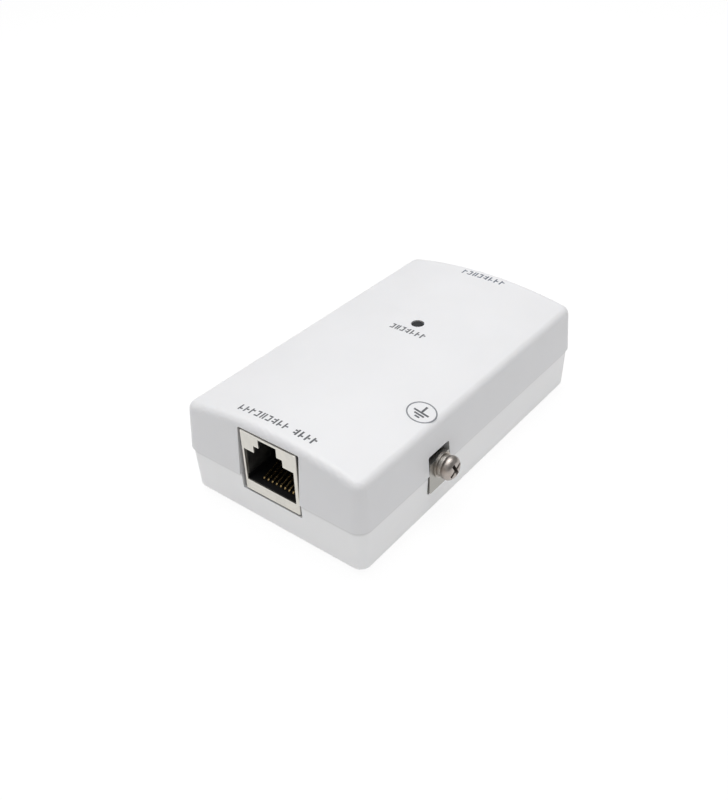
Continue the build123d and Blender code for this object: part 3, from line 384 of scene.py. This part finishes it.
SCREW_AXIS = (0.0214, -0.0140, 0.0102)
SEAM = 9.7 * MM
materials = {
    "case_plastic_top": moulded("case_plastic_top", (0.800, 0.800, 0.812), 0.44, 0.30, sss=0.10),
    # the lower shell's lighter base colour paints in light bounced up from the floor; its strong hollow darkening and
    # the seam band are painted shadow under the upper shell's overhang
    "case_plastic_bottom": moulded("case_plastic_bottom", (0.935, 0.935, 0.940), 0.46, 0.34, sss=0.10,
                                   hollow_shade_tint=(0.60, 0.60, 0.60), hollow_at=0.92, hollow_max=0.95, reach=0.0009, seam=SEAM),
    "screw_steel": turned_metal("screw_steel", (0.15, 0.15, 0.155), (0, 0, 0), "Z", 0.34),
    "foot_rubber": rubber("foot_rubber", (0.020, 0.020, 0.021)),
    "label_film": film("label_film", (0.60, 0.61, 0.63)),
    "board_laminate": board("board_laminate"),
    "jack_shield_metal": sheet_metal("jack_shield_metal", (0.70, 0.680, 0.630), 0.34, "Z", shade_behind=36.55 * MM),
    "jack_plastic": moulded("jack_plastic", (0.006, 0.006, 0.007), 0.55, 0.30, hollow_shade_tint=(0.6, 0.6, 0.6), wear=0.15),
    "contact_gold": wire_metal("contact_gold", (0.92, 0.66, 0.30), 0.22),
    "inlet_plastic": moulded("inlet_plastic", (0.016, 0.016, 0.018), 0.42, 0.30, hollow_shade_tint=(0.6, 0.6, 0.6), wear=0.15),
    "inlet_nickel": wire_metal("inlet_nickel", (0.74, 0.71, 0.66), 0.18),
    "tinned_steel": wire_metal("tinned_steel", (0.72, 0.72, 0.72), 0.32),
    "bracket_nickel": sheet_metal("bracket_nickel", (0.42, 0.41, 0.385), 0.34, "Y"),
    "washer_nickel": turned_metal("washer_nickel", (0.56, 0.53, 0.49), SCREW_AXIS, "X", 0.34),
    "earth_screw_metal": turned_metal("earth_screw_metal", (0.46, 0.42, 0.39), SCREW_AXIS, "X", 0.34),
    "led_epoxy": smoked("led_epoxy", (0.30, 0.55, 0.36)),
    "light_pipe_acrylic": smoked("light_pipe_acrylic", (0.016, 0.017, 0.019)),
    "chip_epoxy": ceramic("chip_epoxy", (0.020, 0.020, 0.022), 0.55, 0.2),
    "capacitor_aluminium": sheet_metal("capacitor_aluminium", (0.80, 0.80, 0.82), 0.34, "Z", (1, 1, 1)),
    "capacitor_film": film("capacitor_film", (0.012, 0.030, 0.11), 0.3),
    "choke_ferrite": ceramic("choke_ferrite", (0.035, 0.035, 0.038), 0.5, 0.3),
    "enamelled_copper": wire_metal("enamelled_copper", (0.70, 0.26, 0.10), 0.16),
    "disc_ceramic_coat": ceramic("disc_ceramic_coat", (0.02, 0.09, 0.32), 0.3, 0.05, 0.5),
    "fuse_ceramic": ceramic("fuse_ceramic", (0.74, 0.72, 0.66), 0.4, 0.1, 0.2),
    "chip_ceramic": ceramic("chip_ceramic", (0.42, 0.29, 0.17), 0.4, 0.1),
}

slots = {s["node"]: s["material_slot"] for s in frame["record"]["subparts"]}
for name, o in frame["nodes"].items():
    o.data.materials.clear()
    o.data.materials.append(materials[slots[name]])

# smooth shading that keeps real corners crisp, on every carried-over CAD node:
# flat faces keep their own normal right up to their edge, only the rounds blend
def crisp_normals(me, limit=28.0, flat=0.4):
    nv, nt = len(me.vertices), len(me.polygons)
    co = np.empty(nv * 3)
    me.vertices.foreach_get("co", co)
    co = np.round(co.reshape(-1, 3) / 2e-7).astype(np.int64)
    _, vid = np.unique(co, axis=0, return_inverse=True)
    vid = vid.reshape(-1)
    starts = np.empty(nt, dtype=np.int64)
    totals = np.empty(nt, dtype=np.int64)
    me.polygons.foreach_get("loop_start", starts)
    me.polygons.foreach_get("loop_total", totals)
    loops = np.empty(len(me.loops), dtype=np.int64)
    me.loops.foreach_get("vertex_index", loops)
    corner_v = vid[loops]
    corner_t = np.empty(len(loops), dtype=np.int64)
    nxt = np.arange(len(loops)) + 1
    corner_t[:] = np.repeat(np.arange(nt), totals)
    nxt[starts + totals - 1] = starts
    normal = np.empty(nt * 3)
    area = np.empty(nt)
    me.polygons.foreach_get("normal", normal)
    me.polygons.foreach_get("area", area)
    normal = normal.reshape(-1, 3)
    # neighbours across an edge
    a = np.minimum(corner_v, corner_v[nxt])
    b = np.maximum(corner_v, corner_v[nxt])
    key = a * (vid.max() + 1) + b
    order = np.argsort(key, kind="stable")
    k, t = key[order], corner_t[order]
    same = k[1:] == k[:-1]
    ta, tb = t[:-1][same], t[1:][same]
    level = (normal[ta] * normal[tb]).sum(1) > math.cos(math.radians(flat))
    ta, tb = ta[level], tb[level]
    # coplanar patches
    label = np.arange(nt)
    while True:
        low = np.minimum(label[ta], label[tb])
        before = label.copy()
        np.minimum.at(label, ta, low)
        np.minimum.at(label, tb, low)
        label = label[label]
        if (label == before).all():
            break
    patch = np.bincount(label, weights=area, minlength=nt)[label]
    # corner angles
    pts = np.empty(nv * 3)
    me.vertices.foreach_get("co", pts)
    pts = pts.reshape(-1, 3)[loops]
    prv = np.empty(len(loops), dtype=np.int64)
    prv[nxt] = np.arange(len(loops))
    u, w = pts[nxt] - pts, pts[prv] - pts
    lu, lw = np.linalg.norm(u, axis=1), np.linalg.norm(w, axis=1)
    cosang = (u * w).sum(1) / np.maximum(lu * lw, 1e-18)
    angle = np.arccos(np.clip(cosang, -1, 1))
    weight = angle * np.maximum(patch[corner_t], 1e-14) ** 2
    # all pairs of corners at one point
    order = np.argsort(corner_v, kind="stable")
    sv = corner_v[order]
    first = np.r_[0, np.nonzero(np.diff(sv))[0] + 1]
    count = np.diff(np.r_[first, len(sv)])
    per = np.repeat(count, count)
    begin = np.repeat(first, count)
    left = np.repeat(np.arange(len(sv)), per)
    offs = np.arange(len(left)) - np.repeat(np.r_[0, np.cumsum(per)[:-1]], per)
    other = begin[left] + offs
    ci, cj = order[left], order[other]
    near = (normal[corner_t[ci]] * normal[corner_t[cj]]).sum(1) > math.cos(math.radians(limit))
    ci, cj = ci[near], cj[near]
    out = np.zeros((len(loops), 3))
    share = weight[cj][:, None] * normal[corner_t[cj]]
    for axis in range(3):
        out[:, axis] = np.bincount(ci, weights=share[:, axis], minlength=len(loops))
    length = np.linalg.norm(out, axis=1)
    bad = length < 1e-30
    out[bad] = normal[corner_t[bad]]
    length[bad] = 1.0
    out /= length[:, None]
    me.normals_split_custom_set([tuple(v) for v in out])


for name, o in frame["nodes"].items():
    o.data.shade_smooth()
    crisp_normals(o.data)


# ---------------------------------------------------------------------------
# printed marks: thin closed solids laid on the crowned roof
# ---------------------------------------------------------------------------
def rounded_rect(cx, cy, w, h, r=0.12, n=4):
    r = min(r, w / 2 - 1e-4, h / 2 - 1e-4)
    pts = []
    for sx, sy, a0 in ((1, -1, -90), (1, 1, 0), (-1, 1, 90), (-1, -1, 180)):
        for k in range(n + 1):
            a = math.radians(a0 + 90 * k / n)
            pts.append((cx + sx * (w / 2 - r) + r * math.cos(a), cy + sy * (h / 2 - r) + r * math.sin(a)))
    return pts


def ring_quads(cx, cy, r0, r1, n=72):
    out = []
    for k in range(n):
        a, b = 2 * math.pi * k / n, 2 * math.pi * (k + 1) / n
        out.append([
            (cx + r0 * math.cos(a), cy + r0 * math.sin(a)), (cx + r1 * math.cos(a), cy + r1 * math.sin(a)),
            (cx + r1 * math.cos(b), cy + r1 * math.sin(b)), (cx + r0 * math.cos(b), cy + r0 * math.sin(b)),
        ])
    return out


def printed(name, shapes, surface, material, body="case", proud=0.012, sink=0.02, step=1.0, flip=False):
    """shapes: outlines in mm in plan. surface(x) gives the height in metres there."""
    bm = bmesh.new()
    for pts in shapes:
        vs = [bm.verts.new((x * MM, y * MM, 0)) for x, y in pts]
        bm.faces.new(vs)
    bmesh.ops.remove_doubles(bm, verts=bm.verts, dist=1e-8)
    xs = [v.co.x for v in bm.verts]
    k = math.ceil(min(xs) / (step * MM))
    while k * step * MM < max(xs):
        geom = bm.verts[:] + bm.edges[:] + bm.faces[:]
        bmesh.ops.bisect_plane(bm, geom=geom, plane_co=(k * step * MM, 0, 0), plane_no=(1, 0, 0), dist=1e-9)
        k += 1
    top = bm.faces[:]
    ext = bmesh.ops.extrude_face_region(bm, geom=top)
    new = [g for g in ext["geom"] if isinstance(g, bmesh.types.BMVert)]
    newset = set(new)
    s = -1 if flip else 1
    for v in bm.verts:
        z = surface(v.co.x)
        v.co.z = z + s * (proud if v in newset else -sink) * MM
    bmesh.ops.recalc_face_normals(bm, faces=bm.faces)
    me = bpy.data.meshes.new(name)
    bm.to_mesh(me)
    bm.free()
    o = bpy.data.objects.new(name, me)
    bpy.context.scene.collection.objects.link(o)
    me.materials.append(material)
    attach(o, body)
    return o


ink_dark = ink("roof_ink", (0.095, 0.100, 0.110))
ink_grey = ink("roof_ink_grey", (0.22, 0.23, 0.25))
ink_blue = ink("roof_ink_slate", (0.11, 0.13, 0.17))


def glyphs(x0, x1, y, h, count, seed, weight=0.2):
    """A run of plain printed signs (bars, hooks, boxes) that stand in for a word; none of them is a letter."""
    pitch = (x1 - x0) / count
    w = pitch * 0.66
    out = []
    for i in range(count):
        x = x0 + pitch * (i + 0.5)
        k = (i * 5 + seed) % 7
        t = weight
        left, right, low, high = x - w / 2, x + w / 2, y - h / 2, y + h / 2
        if k in (0, 3, 5):                       # upright bar with one short branch
            out.append([(left, low), (left + t, low), (left + t, high), (left, high)])
            yy = {0: low + h * 0.20, 3: high - h * 0.20 - t, 5: y - t / 2}[k]
            out.append([(left + t + 0.06, yy), (right, yy), (right, yy + t), (left + t + 0.06, yy + t)])
        elif k in (1, 4):                        # open box
            out.append([(left, low), (right, low), (right, low + t), (left, low + t)])
            out.append([(left, high - t), (right, high - t), (right, high), (left, high)])
            out.append([(right - t, low + t + 0.06), (right, low + t + 0.06), (right, high - t - 0.06), (right - t, high - t - 0.06)])
        elif k == 2:                             # two stacked dashes and a bar
            for yy in (low + h * 0.18, high - h * 0.18 - t):
                out.append([(left, yy), (right - t - 0.06, yy), (right - t - 0.06, yy + t), (left, yy + t)])
            out.append([(right - t, low), (right, low), (right, high), (right - t, high)])
        else:                                    # a pair of bars
            for xx in (left, right - t):
                out.append([(xx, low), (xx + t, low), (xx + t, high), (xx, high)])
    return out


# near end: two words' worth of signs
printed("output_mark", glyphs(-9.8, 2.3, -33.05, 1.6, 9, 0, 0.31) + glyphs(3.4, 8.7, -33.1, 1.65, 4, 2, 0.36), roof, ink_dark)
# far end: one word's worth
printed("input_mark", glyphs(-5.4, 5.6, 33.6, 1.7, 8, 3, 0.32), roof, ink_blue)
# under the status light
printed("light_mark", glyphs(-4.3, 4.3, 5.15, 1.65, 7, 1, 0.31), roof, ink_dark)

# protective-earth symbol above the earth screw
ex, ey = 17.15, -14.15
printed("earth_ring", ring_quads(ex, ey, 2.58, 2.86), roof, ink_grey)
earth = [
    rounded_rect(ex, ey + 0.95, 0.42, 1.7, 0.05),
    rounded_rect(ex, ey - 0.15, 3.2, 0.42, 0.05),
    rounded_rect(ex, ey - 0.85, 2.1, 0.40, 0.05),
    rounded_rect(ex, ey - 1.52, 1.0, 0.38, 0.05),
]
printed("earth_bars", earth, roof, ink_dark)

# blank rating label: a border and plain bars only
lab_lo, lab_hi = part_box("rating_label")
lz = lab_lo.z
frame_bars = [
    rounded_rect(0, 18 + 12.2, 18.4, 0.22, 0.05), rounded_rect(0, 18 - 12.2, 18.4, 0.22, 0.05),
    rounded_rect(-9.2, 18, 0.22, 24.0, 0.05), rounded_rect(9.2, 18, 0.22, 24.0, 0.05),
]
bars = [rounded_rect(7.2 - 5.5, 18 + 8.8, 11.0, 1.6, 0.2)]
lengths = (9.4, 12.6, 7.8, 11.2, 6.4)
bars += [rounded_rect(7.2 - w / 2, 18 + 5.4 - k * 1.8, w, 0.62, 0.15) for k, w in enumerate(lengths)]
bars += [rounded_rect(x, 18 - 8.2, 3.6, 3.6, 0.5) for x in (-5.6, -0.6, 4.4)]
printed("label_border", frame_bars, lambda x: lz, ink_grey, flip=True)
printed("label_bars", bars, lambda x: lz, ink_grey, flip=True)

# ---------------------------------------------------------------------------
# stage, light and camera
# ---------------------------------------------------------------------------
foot_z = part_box("rubber_feet")[0].z - 0.00002


def stage_floor():
    me = bpy.data.meshes.new("floor")
    bm = bmesh.new()
    # its diagonal runs well clear of the object
    vs = [bm.verts.new(p) for p in ((-3, -2, foot_z), (3, -2, foot_z), (3, 4, foot_z), (-3, 4, foot_z))]
    bm.faces.new(vs)
    bm.to_mesh(me)
    bm.free()
    o = bpy.data.objects.new("floor", me)
    bpy.context.scene.collection.objects.link(o)
    m = Mat("floor_paper")
    m.set(color=m.mix(m.range(m.noise(6, 2, 0.5), 0, 1, 0.3, 0.7), (0.90, 0.90, 0.90), (0.92, 0.92, 0.92)), rough=0.9, spec=0.0)
    # seen directly the paper reads as clean white with only a faint contact shadow
    lp = m.n.new("ShaderNodeLightPath")
    em = m.n.new("ShaderNodeEmission")
    em.inputs["Color"].default_value = (1, 1, 1, 1)
    em.inputs["Strength"].default_value = 1.04
    mixn = m.n.new("ShaderNodeMixShader")
    # other rays meet paper that glows a little, as on a lit table
    fac = m.range(lp.outputs["Is Camera Ray"], 0.55, 0.86)
    m.link(fac, mixn.inputs[0])
    m.link(m.p.outputs[0], mixn.inputs[1])
    m.link(em.outputs[0], mixn.inputs[2])
    # seen from below the paper is clear, so the underside can be looked at
    geo = m.n.new("ShaderNodeNewGeometry")
    clear = m.n.new("ShaderNodeBsdfTransparent")
    below = m.n.new("ShaderNodeMixShader")
    m.link(m.math("MULTIPLY", geo.outputs["Backfacing"], lp.outputs["Is Camera Ray"]), below.inputs[0])
    m.link(mixn.outputs[0], below.inputs[1])
    m.link(clear.outputs[0], below.inputs[2])
    m.link(below.outputs[0], m.out.inputs[0])
    me.materials.append(m.m)


stage_floor()

world = bpy.data.worlds.new("studio")
bpy.context.scene.world = world
world.use_nodes = True
wn = world.node_tree.nodes
wl = world.node_tree.links
wn.clear()
wout = wn.new("ShaderNodeOutputWorld")
wbg = wn.new("ShaderNodeBackground")
wbg2 = wn.new("ShaderNodeBackground")
wmix = wn.new("ShaderNodeMixShader")
wlp = wn.new("ShaderNodeLightPath")
wtc = wn.new("ShaderNodeTexCoord")
wsep = wn.new("ShaderNodeSeparateXYZ")
wramp = wn.new("ShaderNodeValToRGB")
wl.new(wtc.outputs["Generated"], wsep.inputs[0])
wl.new(wsep.outputs["Z"], wramp.inputs[0])
wramp.color_ramp.elements[0].position = 0.0
wramp.color_ramp.elements[0].color = (0.10, 0.10, 0.105, 1)
wramp.color_ramp.elements[1].position = 0.9
wramp.color_ramp.elements[1].color = (0.70, 0.70, 0.70, 1)
wl.new(wramp.outputs[0], wbg.inputs[0])
wbg.inputs[1].default_value = 0.62
wbg2.inputs[0].default_value = (1, 1, 1, 1)
wbg2.inputs[1].default_value = 1.0
wl.new(wlp.outputs["Is Camera Ray"], wmix.inputs[0])
wl.new(wbg.outputs[0], wmix.inputs[1])
wl.new(wbg2.outputs[0], wmix.inputs[2])
wl.new(wmix.outputs[0], wout.inputs[0])


def softbox(name, pos, aim, size, power, color=(1, 1, 1)):
    ld = bpy.data.lights.new(name, "AREA")
    ld.shape = "RECTANGLE"
    ld.size, ld.size_y = size
    ld.energy = power
    ld.color = color
    o = bpy.data.objects.new(name, ld)
    bpy.context.scene.collection.objects.link(o)
    o.location = pos
    d = Vector(aim) - Vector(pos)
    o.rotation_euler = d.to_track_quat("-Z", "Y").to_euler()
    return o


softbox("key_overhead", (-0.07, 0.04, 0.62), (0, 0, 0), (0.60, 0.60), 3.6)
softbox("fill_front", (0.12, -0.55, 0.26), (0, 0, 0.01), (0.45, 0.32), 0.125)
softbox("fill_right", (0.40, 0.30, 0.20), (0.02, 0.02, 0.01), (0.40, 0.30), 0.075)

# camera: the fitted view of the reference
az, el, roll = math.radians(37.3314), math.radians(34.5158), math.radians(-0.9335)
K = 0.86 * MM
dist, tx, ty = 216.5839 * K, 0.0179 * K, -0.9438 * K
back = Vector((math.sin(az) * math.cos(el), -math.cos(az) * math.cos(el), math.sin(el)))
right = Vector((math.cos(az), math.sin(az), 0))
up = back.cross(right)
cr, sr = math.cos(roll), math.sin(roll)
right_r = cr * right + sr * up
up_r = -sr * right + cr * up
target = Vector((0, 0, 10.9 * MM))
pos = target + back * dist - right_r * tx - up_r * ty
cam_data = bpy.data.cameras.new("camera")
cam = bpy.data.objects.new("camera", cam_data)
bpy.context.scene.collection.objects.link(cam)
cam_data.sensor_fit = "AUTO"
cam_data.sensor_width = 36.0
f_px = 186.7169 * 4.8536
cam_data.lens = f_px / 800.0 * 36.0
ppx, ppy = (75.0 + 6.0196) * 4.8536, 1.967 + (82.2 - 3.7657) * 4.854
cam_data.shift_x = -(ppx - 364.0) / 800.0
cam_data.shift_y = (ppy - 400.0) / 800.0
cam_data.clip_start = 0.005
cam.matrix_world = Matrix((
    (right_r.x, up_r.x, back.x, pos.x),
    (right_r.y, up_r.y, back.y, pos.y),
    (right_r.z, up_r.z, back.z, pos.z),
    (0, 0, 0, 1),
))
bpy.context.scene.camera = cam

sc = bpy.context.scene
sc.view_settings.view_transform = "Standard"
sc.view_settings.look = "None"
sc.view_settings.exposure = 0.0
sc.view_settings.gamma = 1.0

bpy.context.view_layer.update()
